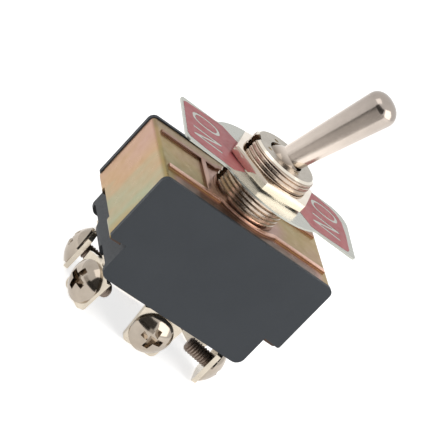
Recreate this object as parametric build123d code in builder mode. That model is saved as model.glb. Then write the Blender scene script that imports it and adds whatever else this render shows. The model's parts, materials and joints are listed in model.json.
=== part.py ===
from build123d import *
import os
from math import sin, cos, tan, radians

os.makedirs("parts", exist_ok=True)

# Two-pole toggle switch with six screw terminals. Millimetres.
# Origin: bushing axis on the top face of the steel frame. +Z up the bushing,
# +X along the body, the way the lever leans, +Y across the body.

# body envelope
body_length = 34.3
body_width = 19.8
wall_proud = 0.2
upper_height = 13.2
lower_height = 6.1
end_step = 3.0
step_rise = 0.27
top_corner_r = 1.2
bottom_corner_r = 1.5
step_corner_r = 0.4

# steel frame
sheet = 1.0
frame_width = 18.2
frame_gap = 0.05
frame_bend_r = 0.8
tab_width = 4.7
tab_inset = 2.3
tab_bend_r = 0.7
rib_offset = 5.2
rib_width = 1.0
rib_height = 0.4
rib_round = 0.15
rib_bulge = 7.0
rib_bulge_half = 5.4
rib_end = 15.9
cross_rib_x = -7.6

# bushing
thread_d = 12.0
bushing_top = 10.2
bushing_chamfer = 0.55
keyway_width = 1.9
keyway_depth = 0.85
keyway_foot = 0.8
flange_d = 14.6
flange_t = 0.7
mouth_clear = 0.1
stake_d = 0.8
stake_depth = 0.25
stake_circle_d = 7.6
stake_start = 20.0
stake_count = 4

# lever and its pivot
pivot_z = 8.0
lever_lean = 19.5
ball_d = 6.7
ball_clear = 0.05
socket_drop = 2.0
neck_d = 4.2
tip_d = 5.95
tip_reach = 18.0
tip_dome = 2.4
tip_shoulder = 0.74
tip_shoulder_rise = 0.72
neck_reach = 2.4
shank_d = 2.6
shank_clear = 0.1
pin_d = 1.2
pin_length = 8.4
pin_clear = 0.04
pin_slot_clear = 0.1
pin_chamfer = 0.15
press_clear = 0.01

# hex nut and indicator plate
plate_z = 5.65
plate_t = 0.3
plate_length = 34.3
plate_width = 14.0
plate_shift = -0.6
plate_disc_d = 23.2
plate_turn = -4.0
plate_blend_r = 1.5
plate_corner_r = 1.0
plate_worn_corner_r = 3.4
plate_bore_clear = 0.06
plate_key_width = 1.7
plate_key_reach = 0.5
nut_wall = 1.0
nut_t = 1.8
nut_turn = 8.0
nut_bore_clear = 0.04
nut_crown_angle = 23.0

# cavity and insulating sheet
cavity_length = 26.0
cavity_width = 14.6
floor_z = -14.9
ledge_depth = 1.0
ledge_width = 0.35
liner_t = 0.3
liner_slot_length = 20.0
liner_slot_width = 13.6
divider_length = 16.0
divider_t = 1.2
divider_height = 3.2

# yoke, plungers and springs; distances run down the lever from the pivot
yoke_top = 12.2
yoke_bottom = 18.0
yoke_thick = 5.4
yoke_width = 12.8
yoke_round = 0.5
pole_y = 4.5
plunger_d = 2.4
plunger_clear = 0.05
plunger_tail = 16.0
bore_end = 12.9
spring_wire = 0.32
spring_d = 1.9
spring_turns = 5.0
shank_end = 16.2
shank_seat = 0.1
plunger_show = 1.5
spring_gap = 0.05

# rockers
rocker_axis_z = -13.8
rocker_tip_angle = 5.5
rocker_sheet = 0.7
rocker_width = 4.2
rocker_crown = 1.05
rocker_touch_gap = 0.05
rocker_arc_end = 34.5
rocker_under_end = 33.0
wing_start = 8.6
wing_end = 11.2
wing_step = 0.45
ridge_r = 0.6
ridge_clear = 0.05
contact_d = 2.6
contact_h = 0.5
contact_gap = 0.05
contact_reach = 9.6
contact_edge_r = 0.15

# terminals
strip_t = 0.8
slot_clear = 0.05
end_strip_x = 12.5
end_strip_y = 5.1
end_strip_width = 3.4
end_shelf_reach = 8.3
end_splay = 20.0
mid_strip_y = 7.8
mid_strip_width = 3.4
mid_shelf_inner = 2.4
neck_start_z = -19.0
lug_top_z = -19.4
lug_shoulder_z = -20.1
lug_foot_z = -26.75
lug_width = 7.6
lug_foot_width = 6.4
lug_round = 1.0
notch_y = 6.0
notch_width = 6.0
notch_height = 1.6
notch_depth = 1.75
notch_round = 0.6

# terminal screws
screw_z = -23.3
screw_d = 2.6
screw_length = 5.0
screw_bore_clear = 0.04
head_d = 7.0
head_rim = 0.35
head_h = 1.9
recess_span = 3.9
recess_width = 1.15
recess_depth = 1.3
recess_taper = 8.0
point_chamfer = 0.4

# derived values
wall_top = wall_proud
step_z = wall_top - upper_height
base_z = step_z - lower_height
half_body = body_length / 2
half_lower = half_body - end_step
half_frame = half_body - wall_proud
half_frame_inner = half_frame - sheet
tab_top_z = step_z + sheet / 2
channel_width = frame_width + 2 * frame_gap
thread_r = thread_d / 2
nut_flats = thread_d + 2 * nut_wall
ball_r = ball_d / 2
socket_r = ball_r + ball_clear
flange_z = -sheet - flange_t
liner_z = -sheet - ledge_depth
plate_top = plate_z + plate_t
nut_top = plate_top + nut_t
lean = radians(lever_lean)
pivot = Vector(0, 0, pivot_z)


def leaned(part):
    # the lever and everything on it lean over the pivot in the rest position
    return part.rotate(Axis(pivot, (0, 1, 0)), lever_lean)


def down(distance):
    return pivot_z - distance


# housing: stepped block, channel for the frame, cavity, slots for the terminals
with BuildPart() as housing:
    with BuildSketch(Plane.XZ.offset(-body_width / 2)):
        with BuildLine():
            Polyline(
                (-half_body, wall_top),
                (half_body, wall_top),
                (half_body, step_z),
                (half_lower, step_z + step_rise),
                (half_lower, base_z),
                (-half_lower, base_z),
                (-half_lower, step_z + step_rise),
                (-half_body, step_z),
                close=True,
            )
        make_face()
    extrude(amount=body_width)
    upright = housing.edges().filter_by(Axis.Y)
    fillet(upright.group_by(Axis.Z)[-1], radius=top_corner_r)
    upright = housing.edges().filter_by(Axis.Y)
    fillet(upright.group_by(Axis.Z)[0], radius=bottom_corner_r)
    step_edges = [
        e for e in housing.edges().filter_by(Axis.Y)
        if abs(e.center().Z - step_z) < step_rise / 2
    ]
    fillet(step_edges, radius=step_corner_r)
    # channel over the top for the frame
    with BuildSketch(Plane.XY.offset(-sheet - frame_gap)):
        Rectangle(2 * body_length, channel_width)
    extrude(amount=2 * sheet + wall_top, mode=Mode.SUBTRACT)
    # channel down each end, and the seat the frame tabs fold under
    end_channel = half_frame_inner - frame_gap
    with BuildSketch(Plane.XY.offset(tab_top_z + frame_gap)):
        with Locations((end_channel + end_step, 0), (-end_channel - end_step, 0)):
            Rectangle(2 * end_step, channel_width)
    extrude(amount=upper_height, mode=Mode.SUBTRACT)
    with BuildSketch(Plane.XY.offset(step_z)):
        with Locations((half_lower + end_step, 0), (-half_lower - end_step, 0)):
            Rectangle(2 * end_step, channel_width)
    extrude(amount=tab_top_z + frame_gap - step_z, mode=Mode.SUBTRACT)
    # cavity and the ledge for the insulating sheet
    with BuildSketch(Plane.XY.offset(floor_z)):
        Rectangle(cavity_length, cavity_width)
    extrude(amount=-floor_z, mode=Mode.SUBTRACT)
    with BuildSketch(Plane.XY.offset(liner_z)):
        Rectangle(cavity_length + 2 * ledge_width, cavity_width + 2 * ledge_width)
    extrude(amount=-liner_z, mode=Mode.SUBTRACT)
    # recesses in the side walls that the middle terminals drop into
    with BuildSketch(Plane.XY.offset(floor_z)):
        Rectangle(mid_strip_width + 2 * slot_clear, 2 * mid_strip_y + strip_t + 2 * slot_clear)
    extrude(amount=liner_z - floor_z, mode=Mode.SUBTRACT)
    # divider between the two poles
    with BuildSketch(Plane.XY.offset(floor_z)):
        Rectangle(divider_length, divider_t)
    extrude(amount=divider_height)
    # slots for the terminal strips
    with BuildSketch(Plane.XY.offset(base_z)):
        with GridLocations(2 * end_strip_x, 2 * end_strip_y, 2, 2):
            Rectangle(strip_t + 2 * slot_clear, end_strip_width + 2 * slot_clear)
        with GridLocations(0, 2 * mid_strip_y, 1, 2):
            Rectangle(mid_strip_width + 2 * slot_clear, strip_t + 2 * slot_clear)
    extrude(amount=floor_z - base_z, mode=Mode.SUBTRACT)
    # notches in the lower end faces above the end terminals
    with BuildSketch(Plane.YZ.offset(-half_lower)):
        with GridLocations(2 * notch_y, 0, 2, 1):
            with Locations((0, base_z)):
                RectangleRounded(notch_width, 2 * notch_height, notch_round)
    extrude(amount=notch_depth, mode=Mode.SUBTRACT)
    with BuildSketch(Plane.YZ.offset(half_lower)):
        with GridLocations(2 * notch_y, 0, 2, 1):
            with Locations((0, base_z)):
                RectangleRounded(notch_width, 2 * notch_height, notch_round)
    extrude(amount=-notch_depth, mode=Mode.SUBTRACT)
housing.part.label = "housing"
export_step(housing.part, "parts/housing.step")

# frame: U of sheet with stamped ribs, crimped under the housing by four tabs
with BuildPart() as frame:
    with BuildSketch(Plane.XZ.offset(-frame_width / 2)):
        with BuildLine():
            Polyline(
                (-half_frame, tab_top_z),
                (-half_frame, 0),
                (half_frame, 0),
                (half_frame, tab_top_z),
                (half_frame_inner, tab_top_z),
                (half_frame_inner, -sheet),
                (-half_frame_inner, -sheet),
                (-half_frame_inner, tab_top_z),
                close=True,
            )
        make_face()
    extrude(amount=frame_width)
    bends = frame.edges().filter_by(Axis.Y).group_by(Axis.Z)[-1]
    fillet(bends, radius=frame_bend_r)
    # crimp tabs at the near and far edge of each end wall
    tab_y = (frame_width - tab_width) / 2
    with BuildSketch(Plane.XY.offset(tab_top_z - sheet)):
        with GridLocations(2 * half_frame - tab_inset, 2 * tab_y, 2, 2):
            Rectangle(tab_inset, tab_width)
    extrude(amount=sheet)
    bottoms = frame.edges().filter_by(Axis.Y).group_by(Axis.Z)[0]
    outer_low = [e for e in bottoms if abs(e.center().X) > half_frame_inner]
    fillet(outer_low, radius=tab_bend_r)
    # stamped ribs
    with BuildSketch(Plane.XY) as rib_lines:
        for side in (-1, 1):
            with BuildLine():
                Polyline((-rib_end, side * rib_offset), (-rib_bulge_half, side * rib_offset))
                ThreePointArc(
                    (-rib_bulge_half, side * rib_offset),
                    (0, side * rib_bulge),
                    (rib_bulge_half, side * rib_offset),
                )
                Polyline((rib_bulge_half, side * rib_offset), (rib_end, side * rib_offset))
            trace(line_width=rib_width)
        with Locations((cross_rib_x, 0)):
            Rectangle(rib_width, 2 * rib_offset)
    extrude(amount=rib_height)
    rib_tops = frame.faces().filter_by(Axis.Z).group_by(Axis.Z)[-1]
    fillet(rib_tops.edges(), radius=rib_round)
    # hole the bushing stands in
    with Locations((0, 0, -sheet)):
        Cylinder(
            thread_r + frame_gap, 2 * sheet,
            align=(Align.CENTER, Align.CENTER, Align.MIN), mode=Mode.SUBTRACT,
        )
frame.part.label = "frame"
export_step(frame.part, "parts/frame.step")

# bushing: threaded sleeve, ball socket closed by a staked lip, tapering bore
shank_reach = (pivot_z - flange_z) * tan(lean) + shank_d / 2 / cos(lean)
bore_foot_r = shank_reach + shank_clear
mouth_r = (bushing_top - pivot_z) * tan(lean) + neck_d / 2 / cos(lean) + mouth_clear
with BuildPart() as bushing:
    with BuildSketch(Plane.XZ):
        with BuildLine():
            Polyline(
                (0, flange_z),
                (flange_d / 2, flange_z),
                (flange_d / 2, -sheet - frame_gap),
                (thread_r, -sheet - frame_gap),
                (thread_r, bushing_top - bushing_chamfer),
                (thread_r - bushing_chamfer, bushing_top),
                (0, bushing_top),
                close=True,
            )
        make_face()
    revolve(axis=Axis.Z)
    with BuildSketch(Plane.XZ):
        with BuildLine():
            Polyline(
                (0, flange_z),
                (bore_foot_r, flange_z),
                (socket_r, pivot_z - socket_drop),
                (socket_r, pivot_z),
                (0, pivot_z),
                close=True,
            )
        make_face()
    revolve(axis=Axis.Z, mode=Mode.SUBTRACT)
    with Locations((0, 0, pivot_z)):
        Sphere(socket_r, mode=Mode.SUBTRACT)
        Cylinder(
            mouth_r, bushing_top,
            align=(Align.CENTER, Align.CENTER, Align.MIN), mode=Mode.SUBTRACT,
        )
    # grooves for the pivot pin, open at the foot of the bore
    with BuildSketch(Plane.XZ.offset(-pin_length / 2 - pin_slot_clear)):
        with Locations((0, pivot_z)):
            Circle(pin_d / 2 + pin_clear)
        with Locations((0, flange_z)):
            Rectangle(
                pin_d + 2 * pin_clear, pivot_z - flange_z,
                align=(Align.CENTER, Align.MIN),
            )
    extrude(amount=pin_length + 2 * pin_slot_clear, mode=Mode.SUBTRACT)
    # keyway
    with BuildSketch(Plane.XY.offset(keyway_foot)):
        with PolarLocations(thread_r, 1, start_angle=180 + plate_turn):
            Rectangle(2 * keyway_depth, keyway_width)
    extrude(amount=bushing_top, mode=Mode.SUBTRACT)
    # stake marks that close the lip over the ball
    with BuildSketch(Plane.XY.offset(bushing_top)):
        with PolarLocations(stake_circle_d / 2, stake_count, start_angle=stake_start):
            Circle(stake_d / 2)
    extrude(amount=-stake_depth, mode=Mode.SUBTRACT)
bushing.part.label = "bushing"
export_step(bushing.part, "parts/bushing.step")

# hex nut
with BuildPart() as hex_nut:
    with BuildSketch(Plane.XY.offset(plate_top)):
        RegularPolygon(nut_flats / 2, 6, major_radius=False, rotation=nut_turn)
        Circle(thread_r + nut_bore_clear, mode=Mode.SUBTRACT)
    extrude(amount=nut_t)
    # crown: the corners are turned down to a cone on the upper face
    with BuildSketch(Plane.XZ):
        with BuildLine():
            Polyline(
                (nut_flats / 2, nut_top),
                (nut_flats, nut_top - nut_flats / 2 * tan(radians(nut_crown_angle))),
                (nut_flats, nut_top),
                close=True,
            )
        make_face()
    revolve(axis=Axis.Z, mode=Mode.SUBTRACT)
hex_nut.part.label = "hex_nut"
export_step(hex_nut.part, "parts/hex_nut.step")

# indicator plate: strip with a round middle and a key in the bushing keyway
with BuildPart() as indicator_plate:
    with BuildSketch(Plane.XY.offset(plate_z)):
        with Locations((0, plate_shift)):
            Rectangle(plate_length, plate_width)
        Circle(plate_disc_d / 2)
    extrude(amount=plate_t)
    ends = indicator_plate.edges().filter_by(Axis.Z).group_by(Axis.X)
    fillet([*ends[0], ends[-1].sort_by(Axis.Y)[0]], radius=plate_corner_r)
    right_end = indicator_plate.edges().filter_by(Axis.Z).group_by(Axis.X)[-1]
    fillet(right_end.sort_by(Axis.Y)[-1], radius=plate_worn_corner_r)
    uprights = indicator_plate.edges().filter_by(Axis.Z)
    joints = [e for e in uprights if abs(e.center().X) < plate_disc_d / 2]
    fillet(joints, radius=plate_blend_r)
    with BuildSketch(Plane.XY.offset(plate_z)):
        Circle(thread_r + plate_bore_clear)
    extrude(amount=plate_t, mode=Mode.SUBTRACT)
    with BuildSketch(Plane.XY.offset(plate_z)):
        with Locations((-thread_r - plate_bore_clear, 0)):
            Rectangle(2 * plate_key_reach, plate_key_width)
    extrude(amount=plate_t)
    # the plate hangs a little askew on the bushing
    whole = indicator_plate.part.rotate(Axis.Z, plate_turn)
indicator_plate.part = whole
indicator_plate.part.label = "indicator_plate"
export_step(indicator_plate.part, "parts/indicator_plate.step")

# lever: bat handle, ball and shank in one turned piece
with BuildPart() as lever:
    with BuildSketch(Plane.XZ):
        with BuildLine():
            Polyline(
                (0, pivot_z - shank_end),
                (shank_d / 2, pivot_z - shank_end),
                (shank_d / 2, pivot_z),
                (neck_d / 2, pivot_z),
                (neck_d / 2, pivot_z + neck_reach),
                (tip_d / 2, pivot_z + tip_reach),
            )
            Spline(
                (tip_d / 2, pivot_z + tip_reach),
                (tip_d / 2 * tip_shoulder, pivot_z + tip_reach + tip_dome * tip_shoulder_rise),
                (0, pivot_z + tip_reach + tip_dome),
                tangents=((0, 1), (-1, 0)),
            )
            Line((0, pivot_z + tip_reach + tip_dome), (0, pivot_z - shank_end))
        make_face()
    revolve(axis=Axis.Z)
    with Locations((0, 0, pivot_z)):
        Sphere(ball_r)
        Cylinder(
            pin_d / 2 + press_clear, pin_length, rotation=(90, 0, 0), mode=Mode.SUBTRACT,
        )
lever.part = leaned(lever.part)
lever.part.label = "lever"
export_step(lever.part, "parts/lever.step")

# pivot pin through the ball
with BuildPart() as pivot_pin:
    with Locations((0, 0, pivot_z)):
        Cylinder(pin_d / 2, pin_length, rotation=(90, 0, 0))
    chamfer(pivot_pin.edges(), length=pin_chamfer)
pivot_pin.part.label = "pivot_pin"
export_step(pivot_pin.part, "parts/pivot_pin.step")

# yoke: moulded block on the shank with one plunger bore for each pole
with BuildPart() as yoke:
    with BuildSketch(Plane.XY.offset(down(yoke_bottom))):
        RectangleRounded(yoke_thick, yoke_width, yoke_round)
    extrude(amount=yoke_bottom - yoke_top)
    with BuildSketch(Plane.XY.offset(down(shank_end) - shank_seat)):
        Circle(shank_d / 2 + press_clear)
    extrude(amount=yoke_bottom, mode=Mode.SUBTRACT)
    with BuildSketch(Plane.XY.offset(down(yoke_bottom))):
        with GridLocations(0, 2 * pole_y, 1, 2):
            Circle(plunger_d / 2 + plunger_clear)
    extrude(amount=yoke_bottom - bore_end, mode=Mode.SUBTRACT)
yoke.part = leaned(yoke.part)
yoke.part.label = "yoke"
export_step(yoke.part, "parts/yoke.step")

# sprung plungers and their springs, one pair for each pole
plunger_ball = yoke_bottom + plunger_show
spring_length = plunger_tail - bore_end - 2 * spring_gap - spring_wire
for side, pole in (("near", -1), ("far", 1)):
    with BuildPart() as plunger:
        with Locations((0, pole * pole_y, down(plunger_ball))):
            Sphere(plunger_d / 2)
            Cylinder(
                plunger_d / 2, plunger_ball - plunger_tail,
                align=(Align.CENTER, Align.CENTER, Align.MIN),
            )
    plunger.part = leaned(plunger.part)
    plunger.part.label = "plunger_" + side
    export_step(plunger.part, "parts/plunger_" + side + ".step")
    with BuildPart() as spring:
        coil_foot = down(plunger_tail) + spring_gap + spring_wire / 2
        with BuildLine():
            coil = Helix(
                spring_length / spring_turns, spring_length, spring_d / 2,
                center=(0, pole * pole_y, coil_foot),
            )
        with BuildSketch(Plane(origin=coil @ 0, z_dir=coil % 0)):
            Circle(spring_wire / 2)
        sweep(is_frenet=True)
    spring.part = leaned(spring.part)
    spring.part.label = "spring_" + side
    export_step(spring.part, "parts/spring_" + side + ".step")

# rockers: dished strips that see-saw on the middle terminals. The dish follows
# the path of the plunger ball, worked out in the rocker's own frame.
tilt = radians(rocker_tip_angle)
drop = pivot_z - rocker_axis_z
ball_x = -plunger_ball * sin(lean)
ball_z = drop - plunger_ball * cos(lean)
path_x = ball_x * cos(tilt) + ball_z * sin(tilt)
path_z = -ball_x * sin(tilt) + ball_z * cos(tilt)
path_rise = path_z - (drop - plunger_ball)
path_r = (path_x ** 2 + path_rise ** 2) / (2 * path_rise)
dish_z = drop - plunger_ball + path_r
dish_r = path_r + plunger_d / 2 + rocker_touch_gap
under_r = dish_r + rocker_sheet
dish_end = radians(rocker_arc_end)
under_end = radians(rocker_under_end)
contact_top_z = floor_z + strip_t + contact_h
button_drop = (contact_reach + contact_d / 2) * sin(tilt)
button_foot = (contact_top_z + contact_gap - rocker_axis_z + button_drop) / cos(tilt)
wing_under = button_foot + contact_h
wing_top = wing_under + rocker_sheet


def dish(radius, angle):
    return (radius * sin(angle), dish_z - radius * cos(angle))


for side, pole in (("near", -1), ("far", 1)):
    middle_y = pole * pole_y
    with BuildPart() as rocker:
        with BuildSketch(Plane.XZ.offset(-middle_y - rocker_width / 2)):
            with BuildLine():
                right_top = dish(dish_r, dish_end)
                left_top = dish(dish_r, -dish_end)
                right_under = dish(under_r, under_end)
                left_under = dish(under_r, -under_end)
                ThreePointArc(left_top, dish(dish_r, 0), right_top)
                Polyline(
                    right_top,
                    (wing_start, wing_top),
                    (wing_end, wing_top),
                    (wing_end, wing_under),
                    (wing_start - wing_step, wing_under),
                    right_under,
                )
                ThreePointArc(right_under, dish(under_r, 0), left_under)
                Polyline(
                    left_under,
                    (-wing_start + wing_step, wing_under),
                    (-wing_end, wing_under),
                    (-wing_end, wing_top),
                    (-wing_start, wing_top),
                    left_top,
                )
            make_face()
            Circle(ridge_r + ridge_clear, mode=Mode.SUBTRACT)
        extrude(amount=rocker_width)
    with BuildPart() as buttons:
        with BuildSketch(Plane.XY.offset(wing_under - contact_h)):
            with Locations((contact_reach, middle_y), (-contact_reach, middle_y)):
                Circle(contact_d / 2)
        extrude(amount=contact_h)
        chamfer(buttons.edges().group_by(Axis.Z)[0], length=contact_edge_r)
    for piece, name in ((rocker, "rocker_" + side), (buttons, "rocker_contacts_" + side)):
        tipped = piece.part.rotate(Axis.Y, -rocker_tip_angle)
        piece.part = tipped.translate((0, 0, rocker_axis_z))
        piece.part.label = name
        export_step(piece.part, "parts/" + name + ".step")

# fixed contacts on the shelves of the four end terminals
with BuildPart() as fixed_contacts:
    with BuildSketch(Plane.XY.offset(floor_z + strip_t)):
        with GridLocations(2 * contact_reach, 2 * pole_y, 2, 2):
            Circle(contact_d / 2)
    extrude(amount=contact_h)
    chamfer(fixed_contacts.edges().group_by(Axis.Z)[-1], length=contact_edge_r)
fixed_contacts.part.label = "fixed_contacts"
export_step(fixed_contacts.part, "parts/fixed_contacts.step")

# insulating sheet under the frame, slotted for the lever
with BuildPart() as insulator:
    with BuildSketch(Plane.XY.offset(liner_z)):
        Rectangle(
            cavity_length + 2 * ledge_width - 2 * frame_gap,
            cavity_width + 2 * ledge_width - 2 * frame_gap,
        )
        RectangleRounded(liner_slot_length, liner_slot_width, yoke_round, mode=Mode.SUBTRACT)
    extrude(amount=liner_t)
insulator.part.label = "insulator"
export_step(insulator.part, "parts/insulator.step")


def lug(neck_width):
    # terminal tab hanging in the plane through its own axis, facing along +X
    with BuildPart() as tab:
        with BuildSketch(Plane.YZ.offset(-strip_t / 2)):
            with BuildLine():
                Polyline(
                    (-neck_width / 2, lug_top_z),
                    (neck_width / 2, lug_top_z),
                    (lug_width / 2, lug_shoulder_z),
                    (lug_foot_width / 2, lug_foot_z),
                    (-lug_foot_width / 2, lug_foot_z),
                    (-lug_width / 2, lug_shoulder_z),
                    close=True,
                )
            make_face()
        extrude(amount=strip_t)
        low = [e for e in tab.edges().filter_by(Axis.X) if e.center().Z < screw_z]
        fillet(low, radius=lug_round)
        with Locations((0, 0, screw_z)):
            Cylinder(
                screw_d / 2 + screw_bore_clear, 2 * strip_t,
                rotation=(0, 90, 0), mode=Mode.SUBTRACT,
            )
    return tab.part


def neck(width, turn):
    # short neck that twists from the strip to the tab
    with BuildPart() as twist:
        with BuildSketch(Plane.XY.offset(neck_start_z)):
            Rectangle(strip_t, width)
        with BuildSketch(Plane.XY.offset(lug_top_z)):
            Rectangle(strip_t, width, rotation=turn)
        loft(ruled=True)
    return twist.part


def screw():
    # truss-head screw along +X, its head seated on the plane X = 0
    with BuildPart() as fastener:
        with BuildSketch(Plane.XZ):
            with BuildLine():
                Polyline(
                    (0, -screw_length),
                    (screw_d / 2 - point_chamfer, -screw_length),
                    (screw_d / 2, -screw_length + point_chamfer),
                    (screw_d / 2, 0),
                    (head_d / 2, 0),
                    (head_d / 2, head_rim),
                )
                RadiusArc(
                    (head_d / 2, head_rim), (0, head_h),
                    -((head_d / 2) ** 2 + (head_h - head_rim) ** 2) / (2 * (head_h - head_rim)),
                )
                Line((0, head_h), (0, -screw_length))
            make_face()
        revolve(axis=Axis.Z)
        with BuildSketch(Plane.XY.offset(head_h)):
            Rectangle(recess_span, recess_width)
            Rectangle(recess_width, recess_span)
        extrude(amount=-recess_depth, taper=recess_taper, mode=Mode.SUBTRACT)
    return fastener.part.rotate(Axis.Y, 90)


# terminals and screws; side is -1 for left or near, +1 for right or far
screws = []
for across, row in ((-1, "near"), (1, "far")):
    for along, place in ((-1, "left"), (1, "right")):
        turn = across * along * end_splay
        with BuildPart() as terminal:
            with BuildSketch(Plane.XY.offset(neck_start_z)):
                with Locations((along * end_strip_x, across * end_strip_y)):
                    Rectangle(strip_t, end_strip_width)
            extrude(amount=floor_z + strip_t - neck_start_z)
            shelf_length = end_strip_x + strip_t / 2 - end_shelf_reach
            with BuildSketch(Plane.XY.offset(floor_z)):
                with Locations((
                    along * (end_shelf_reach + shelf_length / 2), across * end_strip_y,
                )):
                    Rectangle(shelf_length, end_strip_width)
            extrude(amount=strip_t)
            with Locations((along * end_strip_x, across * end_strip_y, 0)):
                add(neck(end_strip_width, turn))
                add(lug(end_strip_width).rotate(Axis.Z, turn))
        name = "terminal_" + row + "_" + place
        terminal.part.label = name
        export_step(terminal.part, "parts/" + name + ".step")
        facing = turn + (180 if along < 0 else 0)
        seat = screw().translate((strip_t / 2, 0, screw_z)).rotate(Axis.Z, facing)
        screws.append(seat.translate((along * end_strip_x, across * end_strip_y, 0)))
    with BuildPart() as terminal:
        with BuildSketch(Plane.XY.offset(neck_start_z)):
            with Locations((0, across * mid_strip_y)):
                Rectangle(mid_strip_width, strip_t)
        extrude(amount=floor_z + strip_t - neck_start_z)
        shelf_width = mid_strip_y + strip_t / 2 - mid_shelf_inner
        with BuildSketch(Plane.XY.offset(floor_z)):
            with Locations((0, across * (mid_shelf_inner + shelf_width / 2))):
                Rectangle(mid_strip_width, shelf_width)
        extrude(amount=strip_t)
        # round-topped ridge the rocker see-saws on
        with Locations((0, across * pole_y, rocker_axis_z)):
            Cylinder(ridge_r, rocker_width, rotation=(90, 0, 0))
        with BuildSketch(Plane.XY.offset(floor_z + strip_t)):
            with Locations((0, across * pole_y)):
                Rectangle(2 * ridge_r, rocker_width)
        extrude(amount=rocker_axis_z - floor_z - strip_t)
        with Locations((0, across * mid_strip_y, 0)):
            add(neck(mid_strip_width, 0).rotate(Axis.Z, 90))
            add(lug(mid_strip_width).rotate(Axis.Z, 90))
    name = "terminal_" + row + "_middle"
    terminal.part.label = name
    export_step(terminal.part, "parts/" + name + ".step")
    seat = screw().translate((strip_t / 2, 0, screw_z)).rotate(Axis.Z, across * 90)
    screws.append(seat.translate((0, across * mid_strip_y, 0)))

terminal_screws = Compound(children=screws)
terminal_screws.label = "terminal_screws"
export_step(terminal_screws, "parts/terminal_screws.step")
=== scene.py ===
import bpy
import bmesh
import json
import math
from mathutils import Matrix, Vector


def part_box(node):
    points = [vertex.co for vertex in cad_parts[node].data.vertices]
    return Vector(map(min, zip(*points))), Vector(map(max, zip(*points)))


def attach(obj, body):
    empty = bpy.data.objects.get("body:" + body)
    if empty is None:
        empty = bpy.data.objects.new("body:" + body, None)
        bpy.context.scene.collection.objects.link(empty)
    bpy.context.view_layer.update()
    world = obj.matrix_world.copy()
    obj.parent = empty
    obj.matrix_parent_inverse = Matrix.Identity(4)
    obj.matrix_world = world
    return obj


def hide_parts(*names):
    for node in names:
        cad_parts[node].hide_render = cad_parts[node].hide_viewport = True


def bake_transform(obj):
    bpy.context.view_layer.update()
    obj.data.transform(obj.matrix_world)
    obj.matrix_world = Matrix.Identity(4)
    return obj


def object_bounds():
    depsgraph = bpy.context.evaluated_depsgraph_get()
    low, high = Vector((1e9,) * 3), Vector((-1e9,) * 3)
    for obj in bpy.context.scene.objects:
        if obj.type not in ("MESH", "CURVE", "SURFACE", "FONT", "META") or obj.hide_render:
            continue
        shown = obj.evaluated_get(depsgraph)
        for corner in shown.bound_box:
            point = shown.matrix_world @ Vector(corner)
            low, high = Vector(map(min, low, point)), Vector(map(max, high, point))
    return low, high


# Two-pole toggle switch, in metres, in the CAD frame. The CAD nodes keep their shape and get their finishes here.
# Made on top of them: the threads of the bushing and the screws, the eased nut, the plunger coils and the plate's print.
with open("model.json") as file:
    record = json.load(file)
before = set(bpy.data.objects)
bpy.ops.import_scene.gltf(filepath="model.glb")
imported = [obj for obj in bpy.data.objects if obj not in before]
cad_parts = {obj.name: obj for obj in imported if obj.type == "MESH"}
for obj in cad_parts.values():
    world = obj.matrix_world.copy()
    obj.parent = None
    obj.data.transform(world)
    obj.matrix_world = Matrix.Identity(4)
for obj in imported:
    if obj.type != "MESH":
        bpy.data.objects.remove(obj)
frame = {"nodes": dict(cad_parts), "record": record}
nodes = frame["nodes"]
record = frame["record"]
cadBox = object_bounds()
mm = 0.001
print("frame loaded:", len(nodes), "nodes")


def srgb(r, g, b):
    # a colour as it is seen, 0 to 255, turned into the linear one that Blender takes
    def lin(c):
        c /= 255
        return c / 12.92 if c <= 0.04045 else ((c + 0.055) / 1.055) ** 2.4
    return (lin(r), lin(g), lin(b), 1)


def startMaterial(name, **sockets):
    mat = bpy.data.materials.new(name)
    mat.use_nodes = True
    shader = mat.node_tree.nodes["Principled BSDF"]
    for key, value in sockets.items():
        shader.inputs[key.replace("_", " ")].default_value = value
    return mat, mat.node_tree, shader


def addNode(tree, kind, inputs=None, **props):
    node = tree.nodes.new(kind)
    for key, value in props.items():
        setattr(node, key, value)
    for key, value in (inputs or {}).items():
        if isinstance(value, bpy.types.NodeSocket):
            tree.links.new(value, node.inputs[key])
        else:
            node.inputs[key].default_value = value
    return node


def axes(tree, source="Object"):
    # X, Y and Z of the object coordinates, or of the normal
    coord = addNode(tree, "ShaderNodeTexCoord").outputs[source]
    return tuple(addNode(tree, "ShaderNodeSeparateXYZ", {0: coord}).outputs)


def fromAxis(tree, x, y):
    # distance from the bushing's axis
    flat = addNode(tree, "ShaderNodeCombineXYZ", {"X": x, "Y": y}).outputs[0]
    return addNode(tree, "ShaderNodeVectorMath", {0: flat}, operation="LENGTH").outputs["Value"]


def noise(tree, scale, detail=3, rough=0.55, stretch=(1, 1, 1)):
    coord = addNode(tree, "ShaderNodeTexCoord")
    place = addNode(tree, "ShaderNodeMapping", {"Vector": coord.outputs["Object"], "Scale": stretch})
    return addNode(tree, "ShaderNodeTexNoise", {
        "Vector": place.outputs[0], "Scale": scale, "Detail": detail, "Roughness": rough}).outputs["Fac"]


def calc(tree, operation, *values):
    return addNode(tree, "ShaderNodeMath", dict(enumerate(values)), operation=operation).outputs[0]


def remap(tree, value, low, high, fromLow=0.3, fromHigh=0.7):
    # the limits left out are those of noise, which keeps mostly between 0.3 and 0.7
    return addNode(tree, "ShaderNodeMapRange", {
        "Value": value, "From Min": fromLow, "From Max": fromHigh, "To Min": low, "To Max": high}).outputs["Result"]


def ramp(tree, value, *stops):
    node = addNode(tree, "ShaderNodeValToRGB", {"Fac": value})
    band = node.color_ramp
    while len(band.elements) < len(stops):
        band.elements.new(0.5)
    for element, (place, colour) in zip(band.elements, stops):
        element.position = place
        element.color = colour
    return node.outputs["Color"]


def mix(tree, share, under, over):
    return addNode(tree, "ShaderNodeMix", {0: share, 6: under, 7: over}, data_type="RGBA").outputs[2]


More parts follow.
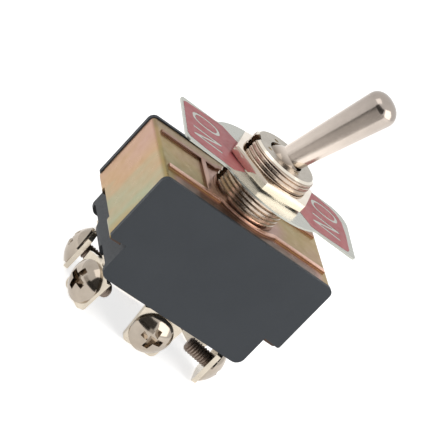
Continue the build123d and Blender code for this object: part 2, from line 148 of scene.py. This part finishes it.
def finish(tree, shader, colour, roughness, height, strength, depth):
    # the three things every finish sets: colour, roughness and a bump, its depth in millimetres
    raised = addNode(tree, "ShaderNodeBump", {"Height": height, "Strength": strength, "Distance": depth * mm})
    tree.links.new(colour, shader.inputs["Base Color"])
    tree.links.new(roughness, shader.inputs["Roughness"])
    tree.links.new(raised.outputs["Normal"], shader.inputs["Normal"])


def mouldedPhenolic():
    look = {
        "dark": srgb(59, 63, 68), "light": srgb(65, 69, 74), "cloud": 90, "grain": 1100, "fineShare": 0.4,
        "spread": (0.45, 0.95), "roughness": (0.42, 0.55), "specular": 0.22, "bump": 0.12, "depth": 0.04,
    }
    mat, tree, shader = startMaterial("mouldedPhenolic", Specular_IOR_Level=look["specular"])
    fine = noise(tree, look["grain"] * 2, 2)
    both = calc(tree, "MULTIPLY_ADD", fine, look["fineShare"], noise(tree, look["cloud"], 4))
    colour = ramp(tree, remap(tree, both, 0, 1, *look["spread"]), (0, look["dark"]), (1, look["light"]))
    gloss = remap(tree, fine, *look["roughness"])
    finish(tree, shader, colour, gloss, noise(tree, look["grain"], 3), look["bump"], look["depth"])
    return mat


def chromatedSteel():
    # yellow passivated zinc: the film's thickness drifts over the sheet and turns gold, green and pink
    look = {
        "olive": srgb(167, 142, 88), "green": srgb(158, 160, 128), "tan": srgb(184, 148, 108), "pink": srgb(184, 145, 126),
        # brown is painted shade on the near edge; rose is painted shade and reflection round the bushing
        "nearShadeBrown": srgb(132, 106, 92), "bushingShadeRose": srgb(176, 138, 124), "moss": srgb(158, 146, 98), "farStrip": srgb(146, 124, 90),
        # rib is a painted highlight on the near rib; farRibShade and ribSideShade are painted shade
        "ribHighlight": srgb(250, 206, 188), "farRibShade": srgb(140, 100, 80), "ribSideShade": srgb(132, 98, 84), "tab": srgb(78, 64, 56),
        "metallic": 0.85, "drift": 95, "driftHalf": 0.2, "driftStretch": (1, 1.4, 0.5),
        "acrossWall": 26, "downWall": 12, "shift": 0.6, "topDrift": 0.3, "bushingShare": 0.35, "facing": (0.35, 0.75),
        "cloud": 700, "grain": 900, "grainStretch": (1, 1, 0.4), "roughness": (0.26, 0.4), "bump": 0.08, "depth": 0.03,
    }
    edge = {  # where the tones change, in millimetres
        "near": (-7.4, -5.8), "nearEnds": (13, 15.5), "bushing": (6.8, 9.5), "far": (5.5, 7), "ribHalf": 6,
        "ribTop": (0.3, 0.38), "sheet": (0.01, 0.05), "tabTop": (0.9, 1.1), "tabInside": (-16.8, -16.5),
    }
    mat, tree, shader = startMaterial("chromatedSteel", Metallic=look["metallic"])
    x, y, z = axes(tree)
    facingUp = axes(tree, "Normal")[2]

    def band(value, low, high, span, foot=0):
        return remap(tree, value, low, high, foot + span[0] * mm, foot + span[1] * mm)

    half = look["driftHalf"]
    drift = remap(tree, noise(tree, look["drift"], 3, 0.5, look["driftStretch"]), -half, half)
    slope = calc(tree, "ADD", calc(tree, "MULTIPLY", y, look["acrossWall"]), calc(tree, "MULTIPLY", z, look["downWall"]))
    phase = calc(tree, "ADD", slope, calc(tree, "ADD", drift, look["shift"]))
    wall = ramp(tree, phase, (0, look["olive"]), (0.25, look["green"]), (0.5, look["tan"]), (0.85, look["pink"]))

    # painted shade: the strip at the near edge is painted brown, and round the bushing a painted shade and reflection
    # of the bushing turns the sheet rose
    nearEdgeShade = calc(tree, "MULTIPLY", band(y, 1, 0, edge["near"]), band(calc(tree, "ABSOLUTE", x), 1, 0, edge["nearEnds"]))
    bushingShadeRing = band(fromAxis(tree, x, y), look["bushingShare"], 0, edge["bushing"])
    topDrift = remap(tree, drift, 0, look["topDrift"], -half, half)
    topShadeAndDrift = calc(tree, "ADD", calc(tree, "MAXIMUM", nearEdgeShade, bushingShadeRing), topDrift)
    sheetTop = ramp(tree, topShadeAndDrift, (0, look["moss"]), (0.15, look["olive"]), (0.55, look["bushingShadeRose"]), (1, look["nearShadeBrown"]))
    sheetTop = mix(tree, band(y, 0, 1, edge["far"]), sheetTop, look["farStrip"])
    # the rib tops carry a painted highlight on the near rib that turns into painted shade on the far rib; the rib sides
    # are painted shade
    ribHighlightAndShade = ramp(tree, band(y, 0, 1, (-edge["ribHalf"], edge["ribHalf"])), (0, look["ribHighlight"]), (1, look["farRibShade"]))
    top = mix(tree, band(z, 0, 1, edge["ribTop"]), sheetTop, ribHighlightAndShade)
    side = mix(tree, band(z, 0, 1, edge["sheet"]), wall, look["ribSideShade"])
    sheet = mix(tree, remap(tree, facingUp, 0, 1, *look["facing"]), side, top)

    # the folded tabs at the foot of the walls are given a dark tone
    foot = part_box("frame")[0].z
    onTab = calc(tree, "MINIMUM", band(z, 1, 0, edge["tabTop"], foot), band(x, 0, 1, edge["tabInside"]))
    gloss = remap(tree, noise(tree, look["cloud"], 4), *look["roughness"])
    rolled = noise(tree, look["grain"], 3, 0.6, look["grainStretch"])
    finish(tree, shader, mix(tree, onTab, sheet, look["tab"]), gloss, rolled, look["bump"], look["depth"])
    return mat


def brightMetal(name, bright, dull, roughness):
    # a cloud in the colour, smears in the gloss and a fine unevenness under the plating
    look = {"cloud": 350, "smear": 1050, "grain": 1400, "bump": 0.05, "depth": 0.02}
    mat, tree, shader = startMaterial(name, Metallic=1)
    colour = ramp(tree, remap(tree, noise(tree, look["cloud"], 4), 0, 1), (0, srgb(*dull)), (1, srgb(*bright)))
    gloss = remap(tree, noise(tree, look["smear"], 3), *roughness)
    finish(tree, shader, colour, gloss, noise(tree, look["grain"], 2), look["bump"], look["depth"])
    return mat


def leverPlating():
    # painted light: a painted highlight makes the lever brightest at the neck, fading towards the tip, and the ball is
    # painted darker as painted shade inside the bushing
    look = {
        "neck": srgb(230, 217, 205), "tip": srgb(168, 158, 150), "ball": srgb(142, 130, 118),
        "sheenSpan": (10, 27), "ballTop": (10.2, 11.2), "cloud": 300, "cloudHalf": 0.1,
        "smear": 900, "roughness": (0.14, 0.22), "grain": 700, "bump": 0.04, "depth": 0.02,
    }
    mat, tree, shader = startMaterial("leverPlating", Metallic=1)
    height = calc(tree, "DIVIDE", axes(tree)[2], mm)
    cloud = remap(tree, noise(tree, look["cloud"], 4), -look["cloudHalf"], look["cloudHalf"])
    # the painted highlight fades from the neck to the tip, with a random cloud of tone on it
    sheenAndCloud = calc(tree, "ADD", remap(tree, height, 0, 1, *look["sheenSpan"]), cloud)
    plated = ramp(tree, sheenAndCloud, (0, look["neck"]), (1, look["tip"]))
    # below the bushing's top the ball is painted darker, painted shade inside the bushing's mouth
    colour = mix(tree, remap(tree, height, 1, 0, *look["ballTop"]), plated, look["ball"])
    gloss = remap(tree, noise(tree, look["smear"], 3), *look["roughness"])
    finish(tree, shader, colour, gloss, noise(tree, look["grain"], 2), look["bump"], look["depth"])
    return mat


def rolledAluminium():
    look = {
        "dark": srgb(176, 177, 169), "light": srgb(190, 191, 183), "metallic": 0.9, "roughness": (0.2, 0.34),
        "grain": 900, "stretch": (0.08, 1, 1), "bump": 0.08, "depth": 0.02,
    }
    mat, tree, shader = startMaterial("rolledAluminium", Metallic=look["metallic"])
    grain = noise(tree, look["grain"], 4, 0.6, look["stretch"])
    colour = ramp(tree, remap(tree, grain, 0, 1), (0, look["dark"]), (1, look["light"]))
    finish(tree, shader, colour, remap(tree, grain, *look["roughness"]), grain, look["bump"], look["depth"])
    return mat


def clouded(name, dark, light, roughness, specular=0.4, cloud=400, detail=3, smear=1500):
    # smooth plastic, fibre or ink: a soft cloud in the colour and a finer one in the gloss
    mat, tree, shader = startMaterial(name, Specular_IOR_Level=specular)
    colour = ramp(tree, remap(tree, noise(tree, cloud, detail), 0, 1), (0, srgb(*dark)), (1, srgb(*light)))
    tree.links.new(colour, shader.inputs["Base Color"])
    tree.links.new(remap(tree, noise(tree, smear, 2), *roughness), shader.inputs["Roughness"])
    return mat


def bushingPlating():
    # painted light: the up-facing staked top is painted darker as painted shade, the grooves are painted darker than
    # the crests as painted shade, and the rim above the thread carries a painted highlight
    look = {
        "crest": (srgb(190, 173, 158), srgb(210, 193, 177)), "top": (srgb(162, 154, 142), srgb(180, 172, 159)),
        "groove": srgb(152, 134, 118), "rimHighlight": srgb(232, 224, 210), "roughness": (0.16, 0.28),
        "grooveReach": (5.86, 5.96), "rimHeight": (9.8, 9.9), "facing": (0.85, 0.97),
        "cloud": 500, "smear": 1300, "grain": 900, "bump": 0.12, "depth": 0.03,
    }
    mat, tree, shader = startMaterial("bushingPlating", Metallic=1)
    x, y, z = axes(tree)
    reach, height = (calc(tree, "DIVIDE", value, mm) for value in (fromAxis(tree, x, y), z))
    cloud = remap(tree, noise(tree, look["cloud"], 4), 0, 1)
    crest, top = (ramp(tree, cloud, *enumerate(look[part])) for part in ("crest", "top"))
    # painted shade in the grooves of the thread
    thread = mix(tree, remap(tree, reach, 1, 0, *look["grooveReach"]), crest, look["groove"])
    # above the thread the rim carries a painted highlight
    body = mix(tree, remap(tree, height, 0, 1, *look["rimHeight"]), thread, look["rimHighlight"])
    # the up-facing top is painted darker, painted shade
    colour = mix(tree, remap(tree, axes(tree, "Normal")[2], 0, 1, *look["facing"]), body, top)
    gloss = remap(tree, noise(tree, look["smear"], 3), *look["roughness"])
    finish(tree, shader, colour, gloss, noise(tree, look["grain"], 3), look["bump"], look["depth"])
    return mat


# one finish for each slot of the record
# a metal is given its bright tone, dull tone and roughness; plastic and fibre their dark tone, light tone and roughness
finishes = {
    "moulding": mouldedPhenolic(),
    "plated_steel": chromatedSteel(),
    "nickel_brass": brightMetal("brightNickel", (186, 178, 165), (172, 164, 150), (0.09, 0.2)),
    "plate_aluminium": rolledAluminium(),
    "pin_steel": brightMetal("pinSteel", (190, 188, 184), (170, 168, 164), (0.2, 0.35)),
    "yoke_plastic": clouded("yokePlastic", (196, 190, 174), (212, 206, 190), (0.4, 0.6)),
    "spring_steel": brightMetal("springWire", (150, 150, 152), (126, 126, 128), (0.25, 0.4)),
    "rocker_brass": brightMetal("rockerBrass", (206, 172, 98), (186, 150, 80), (0.22, 0.38)),
    "contact_silver": brightMetal("contactSilver", (226, 226, 224), (196, 196, 196), (0.25, 0.4)),
    "fibre_sheet": clouded("fibreSheet", (92, 62, 42), (112, 78, 54), (0.6, 0.8)),
    "terminal_brass": brightMetal("terminalPlating", (216, 206, 190), (198, 188, 172), (0.16, 0.3)),
    "lever_finish": leverPlating(),
    "screw_steel": brightMetal("screwPlating", (182, 171, 158), (166, 155, 142), (0.08, 0.16)),
}
for node in nodes.values():
    slotName = node.data.materials[0].name.split(".")[0]
    node.data.materials.clear()
    node.data.materials.append(finishes["lever_finish" if node.name == "lever" else slotName])
print("finishes made:", len(finishes))


def makeObject(name, mesh, *materials):
    obj = bpy.data.objects.new(name, mesh)
    bpy.context.scene.collection.objects.link(obj)
    for mat in materials:
        obj.data.materials.append(mat)
    return obj


def tidyMesh(mesh, gap):
    # points nearer than the gap are joined and the faces turned outwards
    work = bmesh.new()
    work.from_mesh(mesh)
    bmesh.ops.remove_doubles(work, verts=work.verts, dist=gap)
    bmesh.ops.recalc_face_normals(work, faces=work.faces)
    work.to_mesh(mesh)
    work.free()


def plainMesh(obj):
    # what the object's modifiers or curve make of it, as a mesh of its own
    bpy.context.view_layer.update()
    return bpy.data.meshes.new_from_object(obj.evaluated_get(bpy.context.evaluated_depsgraph_get()))


def mergedCopy(node, name):
    # a CAD mesh is loose triangles; its copy is joined up so that it can be cut
    mesh = nodes[node].data.copy()
    mesh.name = name
    tidyMesh(mesh, 0.002 * mm)
    for layer in ("custom_normal", "sharp_edge"):
        if layer in mesh.attributes:
            mesh.attributes.remove(mesh.attributes[layer])
    return makeObject(name, mesh)


def smoothTo(obj, degrees):
    obj.data.polygons.foreach_set("use_smooth", [True] * len(obj.data.polygons))
    obj.data.set_sharp_from_angle(angle=math.radians(degrees))


def applyTree(obj, tree, **values):
    # inputs are set by their identifiers before the first evaluation, then the result becomes plain mesh
    mod = obj.modifiers.new(tree.name, "NODES")
    mod.node_group = tree
    for item in tree.interface.items_tree:
        if item.item_type == "SOCKET" and item.in_out == "INPUT" and item.name in values:
            mod[item.identifier] = values[item.name]
    mesh = plainMesh(obj)
    obj.modifiers.remove(mod)
    old, obj.data = obj.data, mesh
    bpy.data.meshes.remove(old)


def lathe(name, profile, count=96, start=0):
    # a closed turned solid; the profile starts and ends on the axis, or closes on itself round a bore
    mesh = bpy.data.meshes.new(name)
    work = bmesh.new()
    ringed = profile[0] == profile[-1]
    angles = [math.radians(start) + 2 * math.pi * i / count for i in range(count)]
    rings = []
    for r, z in profile[:-1] if ringed else profile:
        if r == 0:
            rings.append([work.verts.new((0, 0, z * mm))])
        else:
            rings.append([work.verts.new((r * math.cos(a) * mm, r * math.sin(a) * mm, z * mm)) for a in angles])
    for low, high in zip(rings, rings[1:] + (rings[:1] if ringed else [])):
        for i in range(count):
            j = (i + 1) % count
            corners = [low[i % len(low)], low[j % len(low)], high[j % len(high)], high[i % len(high)]]
            work.faces.new(list(dict.fromkeys(corners)))
    bmesh.ops.recalc_face_normals(work, faces=work.faces)
    work.to_mesh(mesh)
    work.free()
    return makeObject(name, mesh)


def buildThreadTree():
    # a helical V groove is cut round +Z, then the cut piece is set on each seat
    tree = bpy.data.node_groups.new("cutThread", "GeometryNodeTree")
    sockets = tree.interface
    sockets.new_socket("Geometry", in_out="INPUT", socket_type="NodeSocketGeometry")
    sockets.new_socket("Geometry", in_out="OUTPUT", socket_type="NodeSocketGeometry")
    for name, kind in (("Crest Radius", "Float"), ("Groove", "Float"), ("Pitch", "Float"), ("Start", "Float"),
                       ("Turns", "Float"), ("Steps", "Int"), ("Seats", "Object"), ("Finish", "Material")):
        sockets.new_socket(name, in_out="INPUT", socket_type="NodeSocket" + kind)
    given = addNode(tree, "NodeGroupInput").outputs
    height = calc(tree, "MULTIPLY", given["Pitch"], given["Turns"])
    helix = addNode(tree, "GeometryNodeCurveSpiral", {
        "Resolution": given["Steps"], "Rotations": given["Turns"], "Start Radius": given["Crest Radius"],
        "End Radius": given["Crest Radius"], "Height": height}).outputs[0]
    rise = addNode(tree, "ShaderNodeCombineXYZ", {"Z": given["Start"]}).outputs[0]
    placed = addNode(tree, "GeometryNodeTransform", {"Geometry": helix, "Translation": rise}).outputs[0]
    upright = addNode(tree, "GeometryNodeSetCurveNormal", {"Curve": placed}, mode="Z_UP").outputs[0]
    vee = addNode(tree, "GeometryNodeCurvePrimitiveCircle", {"Resolution": 4, "Radius": given["Groove"]}).outputs[0]
    groove = addNode(tree, "GeometryNodeCurveToMesh", {"Curve": upright, "Profile Curve": vee, "Fill Caps": True}).outputs[0]
    cut = addNode(tree, "GeometryNodeMeshBoolean", {"Mesh 1": given["Geometry"], "Mesh 2": groove},
                  operation="DIFFERENCE", solver="EXACT").outputs[0]
    seats = addNode(tree, "GeometryNodeObjectInfo", {"Object": given["Seats"]}).outputs["Geometry"]
    turn = addNode(tree, "GeometryNodeInputNamedAttribute", {"Name": "turn"}, data_type="FLOAT_VECTOR").outputs[0]
    spin = addNode(tree, "FunctionNodeEulerToRotation", {0: turn}).outputs[0]
    copies = addNode(tree, "GeometryNodeInstanceOnPoints", {"Points": seats, "Instance": cut, "Rotation": spin}).outputs[0]
    real = addNode(tree, "GeometryNodeRealizeInstances", {"Geometry": copies}).outputs[0]
    done = addNode(tree, "GeometryNodeSetMaterial", {"Geometry": real, "Material": given["Finish"]}).outputs[0]
    tree.links.new(done, addNode(tree, "NodeGroupOutput").inputs[0])
    return tree


def cutThread(obj, seats, spec, crestRadius, start, turns, material):
    # one point a seat, with the turn that carries +Z onto the seat's axis
    mesh = bpy.data.meshes.new(obj.name + "Seats")
    mesh.from_pydata([place for place, turn in seats], [], [])
    spins = mesh.attributes.new("turn", "FLOAT_VECTOR", "POINT")
    for value, (place, turn) in zip(spins.data, seats):
        value.vector = turn
    points = makeObject(mesh.name, mesh)
    applyTree(obj, threadTree, **{
        "Crest Radius": crestRadius, "Groove": spec["depth"] * mm, "Pitch": spec["pitch"] * mm, "Start": start * mm,
        "Turns": turns, "Steps": spec["steps"], "Seats": points, "Finish": material})
    smoothTo(obj, spec["smooth"])
    bpy.data.objects.remove(points)


threadTree = buildThreadTree()
bushingThread = {"pitch": 0.75, "depth": 0.18, "foot": 0.9, "top": 9.7, "steps": 120, "smooth": 30}
crest = next(m["dims"]["r_mm"] for m in record["mounts"] if m["name"] == "bushing_thread")
bushing = mergedCopy("bushing", "threadedBushing")
threadTurns = (bushingThread["top"] - bushingThread["foot"]) / bushingThread["pitch"]
cutThread(bushing, [((0, 0, 0), (0, 0, 0))], bushingThread, crest * mm, bushingThread["foot"], threadTurns, bushingPlating())
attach(bushing, "body")
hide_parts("bushing")
print("bushing thread cut:", len(bushing.data.polygons), "faces")

# the nut stands on a small round face and its corners are turned off at both ends
nutShape = {
    "flats": 14.0, "turn": 8.0, "bore": 6.04, "washer": 6.8, "lift": 0.2, "slope": 8, "turning": 2.0,
    "ease": 0.13, "segments": 2, "easeFrom": 20, "smooth": 35,
    "plating": {"bright": (242, 231, 217), "dull": (230, 219, 204), "roughness": (0.08, 0.16)},
}


def makeNut():
    foot, head = (end.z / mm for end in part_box("hex_nut"))
    half = nutShape["flats"] / 2
    corner = half / math.cos(math.radians(30))
    outside = half + nutShape["turning"]
    drop = nutShape["turning"] * math.tan(math.radians(nutShape["slope"]))
    seat = foot + nutShape["lift"]
    nut = lathe("easedNut", [(0, foot), (corner, foot), (corner, head), (0, head)], 6, nutShape["turn"])
    turned = lathe("nutTurning", [
        (nutShape["bore"], foot), (nutShape["washer"], foot), (nutShape["washer"], seat), (half, seat), (outside, seat + drop),
        (outside, head - drop), (half, head), (nutShape["bore"], head), (nutShape["bore"], foot)])
    keep = nut.modifiers.new("keep", "BOOLEAN")
    keep.operation = "INTERSECT"
    keep.solver = "EXACT"
    keep.object = turned
    ease = nut.modifiers.new("ease", "BEVEL")
    ease.width = nutShape["ease"] * mm
    ease.segments = nutShape["segments"]
    ease.limit_method = "ANGLE"
    ease.angle_limit = math.radians(nutShape["easeFrom"])
    easedMesh = plainMesh(nut)
    nut.modifiers.clear()
    nut.data = easedMesh
    bpy.data.objects.remove(turned)
    smoothTo(nut, nutShape["smooth"])
    nut.data.materials.clear()
    nut.data.materials.append(brightMetal("nutPlating", **nutShape["plating"]))
    return nut


nut = makeNut()
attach(nut, "body")
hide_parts("hex_nut")
print("nut turned:", len(nut.data.polygons), "faces")

# depths under the head are measured along each screw from its clamp place in the record
screw = {
    "pitch": 0.5, "depth": 0.16, "length": 5.0, "runOut": 0.4, "steps": 36, "smooth": 32,
    "reach": 5.8, "shankFrom": -2.0, "underHead": -0.7, "tip": -6.0, "slack": 0.05,
    "shank": {"bright": (158, 143, 132), "dull": (140, 126, 116), "roughness": (0.42, 0.55)},
}
wireMounts = [m for m in record["mounts"] if m["name"].startswith("wire_")]
screws = mergedCopy("terminal_screws", "terminalScrews")
screwPoints = [v.co.copy() for v in screws.data.vertices]


def screwSeat(mount):
    # the clamp place, moved sideways onto the middle of the shank that stands there
    place, turn = Vector(mount["pos_m"]), Vector(mount["axis"]).to_track_quat("Z", "X").to_matrix()
    local = [turn.inverted() @ (p - place) for p in screwPoints if (p - place).length < screw["reach"] * mm]
    shank = [p for p in local if p.z < screw["shankFrom"] * mm]
    middle = [(min(p[i] for p in shank) + max(p[i] for p in shank)) / 2 for i in (0, 1)]
    return place + turn @ Vector((*middle, 0)), turn.to_euler()


def keepFirstScrew(seat, turn):
    # one screw is lifted out of the CAD set and laid along +Z at the origin; the radius of its shank comes back
    work = bmesh.new()
    work.from_mesh(screws.data)
    others = [v for v in work.verts if (v.co - seat).length > screw["reach"] * mm]
    bmesh.ops.delete(work, geom=others, context="VERTS")
    work.transform(turn.to_matrix().to_4x4().inverted() @ Matrix.Translation(-seat))
    radius = max(v.co.xy.length for v in work.verts if v.co.z < screw["shankFrom"] * mm)
    work.to_mesh(screws.data)
    work.free()
    return radius


screwSeats = [screwSeat(m) for m in wireMounts]
shankRadius = keepFirstScrew(*screwSeats[0])
cutThread(screws, screwSeats, screw, shankRadius, -screw["length"] - screw["pitch"] / 2,
          screw["length"] / screw["pitch"] - screw["runOut"], finishes["screw_steel"])
# the shanks are left unpolished
screws.data.materials.append(brightMetal("shankSteel", **screw["shank"]))
for place, turn in screwSeats:
    back = turn.to_matrix().inverted()
    for face in screws.data.polygons:
        spot = back @ (face.center - place)
        if screw["tip"] * mm < spot.z < screw["underHead"] * mm and spot.xy.length < shankRadius + screw["slack"] * mm:
            face.material_index = 1
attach(screws, "body")
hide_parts("terminal_screws")
print("screws set:", len(wireMounts), "shank radius", round(shankRadius / mm, 3), len(screws.data.polygons), "faces")


springs = {"sides": ("near", "far"), "smooth": 40}


def plungerCoil(side):
    # the coil stands on its plunger and is held at the other end; here it is a joined, smoothed copy of the CAD spring,
    # baked into the world frame
    coil = mergedCopy("spring_" + side, side + "Coil")
    smoothTo(coil, springs["smooth"])
    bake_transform(coil)
    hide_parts("spring_" + side)
    return coil


coils = [plungerCoil(side) for side in springs["sides"]]
print("plunger coils:", len(coils))

# the plate's print: outlines in millimetres, in the plate's own turned axes; each end says ON with its tops towards +X
platePrint = {
    "turn": -4.0, "thick": 0.03, "stroke": 0.6,
    "left": ((-16.7, 4.8), (-16.1, 5.3), (-13.4, 5.7), (-11.0, 6.0), (-8.7, 6.2), (-6.0, 4.3), (-5.3, -5.2),
             (-7.6, -7.1), (-9.8, -7.0), (-13.0, -6.9), (-16.2, -6.4), (-16.7, -5.6)),
    "right": ((5.9, -4.7), (8.0, -7.1), (9.6, -7.1), (12.3, -6.9), (15.6, -6.5), (16.05, -5.8), (16.15, -0.8),
              (15.8, 3.0), (14.9, 4.6), (13.6, 5.4), (11.0, 5.9), (8.6, 6.2), (6.0, 4.3)),
    "letterO": {"across": 2.3, "half": (2.75, 1.9), "square": 2.4},
    "letterN": {"across": -2.95, "half": (2.8, 1.5), "lean": 0.75},
    "word": {"left": (-12.4, -1.0), "right": (11.9, -3.5)},
    "ink": {"dark": (160, 76, 80), "light": (180, 96, 98), "roughness": (0.3, 0.45), "specular": 0.3,
            "cloud": 260, "detail": 4, "smear": 900},
}
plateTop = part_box("indicator_plate")[1].z


def ovalLoop(middle, half, power, count=64):
    # an oval with squared shoulders
    loop = []
    for i in range(count):
        a = 2 * math.pi * i / count
        unit = (math.cos(a), math.sin(a))
        loop.append([c + h * math.copysign(abs(u) ** (2 / power), u) for c, h, u in zip(middle, half, unit)])
    return loop


def letterLoops(side):
    cx, turn = platePrint["word"][side]
    o, n, w = platePrint["letterO"], platePrint["letterN"], platePrint["stroke"]
    hx, hy = o["half"]
    outer, inner = (ovalLoop((cx, o["across"]), (hx - cut, hy - cut), o["square"]) for cut in (0, w))
    hx, hy = n["half"]
    left, right = cx - hx, cx + hx
    low, high = n["across"] - hy, n["across"] + hy
    # N seen with its top along +X: first stem at +Y, second at -Y, the slant lapping each by the lean
    lap = 2 * n["lean"]
    letter = [
        (left, high), (right, high), (right, high - w), (left + lap, low + w), (right, low + w),
        (right, low), (left, low), (left, low + w), (right - lap, high - w), (left, high - w),
    ]
    spin = Matrix.Rotation(math.radians(turn), 2)
    middle = Vector((cx, 0))
    return [[spin @ (Vector(p) - middle) + middle for p in loop] for loop in (outer, inner, letter)]


def printedField(side):
    # the letters are left open in the field; all of it is raised by the ink's thickness
    curve = bpy.data.curves.new(side + "Print", "CURVE")
    curve.dimensions = "2D"
    curve.fill_mode = "BOTH"
    curve.extrude = platePrint["thick"] / 2 * mm
    for loop in [platePrint[side]] + letterLoops(side):
        spline = curve.splines.new("POLY")
        spline.points.add(len(loop) - 1)
        for point, (x, y) in zip(spline.points, loop):
            point.co = (x * mm, y * mm, 0, 1)
        spline.use_cyclic_u = True
    drawn = makeObject(side + "Outline", curve)
    mesh = plainMesh(drawn)
    bpy.data.objects.remove(drawn)
    plateTurn = Matrix.Rotation(math.radians(platePrint["turn"]), 4, "Z")
    mesh.transform(plateTurn @ Matrix.Translation((0, 0, plateTop + platePrint["thick"] / 2 * mm)))
    tidyMesh(mesh, 0.0001 * mm)
    obj = makeObject(side + "Print", mesh, ink)
    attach(obj, "body")
    return obj


ink = clouded("redInk", **platePrint["ink"])
prints = [printedField(side) for side in ("left", "right")]
print("plate printed:", [len(p.data.polygons) for p in prints])

studio = {
    "floorDrop": 0.2, "floorHalf": 3, "floorTone": 0.8, "floorLift": 0.7, "world": 0.55,
    "key": {"toward": (0.62, -0.64, 0.45), "distance": 0.42, "size": 0.38, "power": 0.85, "colour": (1, 0.98, 0.94)},
    "top": {"toward": (-0.6, -0.1, 0.8), "distance": 0.5, "size": 0.3, "power": 0.3, "colour": (1, 0.99, 0.97)},
}
floorZ = cadBox[0][2] - studio["floorDrop"] * mm


def seenDirectly(tree):
    # 1 for the eye, in mirrors and through glass, 0 for the light that falls on the part
    path = addNode(tree, "ShaderNodeLightPath").outputs
    mirrored = calc(tree, "MAXIMUM", path["Is Glossy Ray"], path["Is Transmission Ray"])
    return calc(tree, "MAXIMUM", path["Is Camera Ray"], mirrored)


def makeFloor():
    # white to the eye and in reflections, and still shaded by the part
    tone = studio["floorTone"]
    mat, tree, shader = startMaterial("floorWhite", Base_Color=(tone, tone, tone, 1), Roughness=1)
    glow = addNode(tree, "ShaderNodeEmission", {"Strength": calc(tree, "MULTIPLY", seenDirectly(tree), studio["floorLift"])})
    both = addNode(tree, "ShaderNodeAddShader", {0: shader.outputs[0], 1: glow.outputs[0]})
    tree.links.new(both.outputs[0], tree.nodes["Material Output"].inputs["Surface"])
    half = studio["floorHalf"]
    corners = ((-half, -half), (half, -half), (half, half), (-half, half))
    mesh = bpy.data.meshes.new("floor")
    mesh.from_pydata([(x, y, floorZ) for x, y in corners], [], [(0, 1, 2, 3)])
    return makeObject("floor", mesh, mat)


def makeWorld():
    world = bpy.data.worlds.new("studio")
    bpy.context.scene.world = world
    world.use_nodes = True
    sky = world.node_tree
    strength = addNode(sky, "ShaderNodeMix", {0: seenDirectly(sky), 2: studio["world"], 3: 1.0}).outputs[0]
    sky.links.new(strength, sky.nodes["Background"].inputs["Strength"])
    sky.nodes["Background"].inputs["Color"].default_value = (1, 1, 1, 1)


def softbox(name, spec):
    lamp = bpy.data.lights.new(name, "AREA")
    lamp.shape = "SQUARE"
    lamp.size = spec["size"]
    lamp.energy = spec["power"]
    lamp.color = spec["colour"]
    obj = bpy.data.objects.new(name, lamp)
    bpy.context.scene.collection.objects.link(obj)
    toward = Vector(spec["toward"]).normalized()
    obj.location = toward * spec["distance"]
    obj.rotation_euler = toward.to_track_quat("Z", "Y").to_euler()


makeFloor()
makeWorld()
softbox("keyLight", studio["key"])
softbox("topLight", studio["top"])

# curved cards where the unlit room would mirror in the plating; the eye never sees them
cardTone = (1, 0.97, 0.94, 1)
cards = {
    "lowCard": {"radius": 0.088, "from": -66, "to": -9, "foot": floorZ, "top": -0.004, "glow": 0.04},
    "middleCard": {"radius": 0.14, "from": -88, "to": 24, "foot": floorZ, "top": 0.004, "glow": 0.62},
    "levelCard": {"radius": 0.3, "from": -88, "to": 24, "foot": floorZ, "top": 0.042, "glow": 0.62},
    "highCard": {"radius": 0.3, "from": -60, "to": 4, "foot": 0.042, "top": 0.26, "glow": 0.08},
}


def curvedCard(name, spec, columns=16):
    points = []
    for step in range(columns + 1):
        turn = math.radians(spec["from"] + (spec["to"] - spec["from"]) * step / columns)
        x, y = math.sin(turn) * spec["radius"], -math.cos(turn) * spec["radius"]
        points += [(x, y, spec["foot"]), (x, y, spec["top"])]
    mesh = bpy.data.meshes.new(name)
    mesh.from_pydata(points, [], [(2 * i, 2 * i + 2, 2 * i + 3, 2 * i + 1) for i in range(columns)])
    mat, tree, shader = startMaterial(
        name, Base_Color=(0, 0, 0, 1), Specular_IOR_Level=0, Emission_Color=cardTone, Emission_Strength=spec["glow"])
    card = makeObject(name, mesh, mat)
    for seenBy in ("visible_camera", "visible_diffuse", "visible_shadow", "visible_transmission"):
        setattr(card, seenBy, False)
    return card


for name, spec in cards.items():
    curvedCard(name, spec)
print("stage lit:", len(cards), "cards")

view = {
    "azimuth": -26.716, "elevation": 18.766, "distance": 0.37077, "roll": -43.6,
    "aim": (-0.00075, -0.00124, -0.00425), "lens": 193.7,
}


def makeCamera():
    azimuth, elevation, roll = (math.radians(view[k]) for k in ("azimuth", "elevation", "roll"))
    back = Vector((math.sin(azimuth) * math.cos(elevation), -math.cos(azimuth) * math.cos(elevation), math.sin(elevation)))
    level = Vector((0, 0, 1)).cross(back).normalized()
    up = back.cross(level) * math.cos(roll) + level * math.sin(roll)
    turn = Matrix((up.cross(back), up, back)).transposed().to_4x4()
    lens = bpy.data.cameras.new("camera")
    lens.lens = view["lens"]
    camera = bpy.data.objects.new("camera", lens)
    bpy.context.scene.collection.objects.link(camera)
    camera.matrix_world = Matrix.Translation(Vector(view["aim"]) + back * view["distance"]) @ turn
    bpy.context.scene.camera = camera


makeCamera()
bpy.context.scene.view_settings.view_transform = "Standard"
print("scene ready")
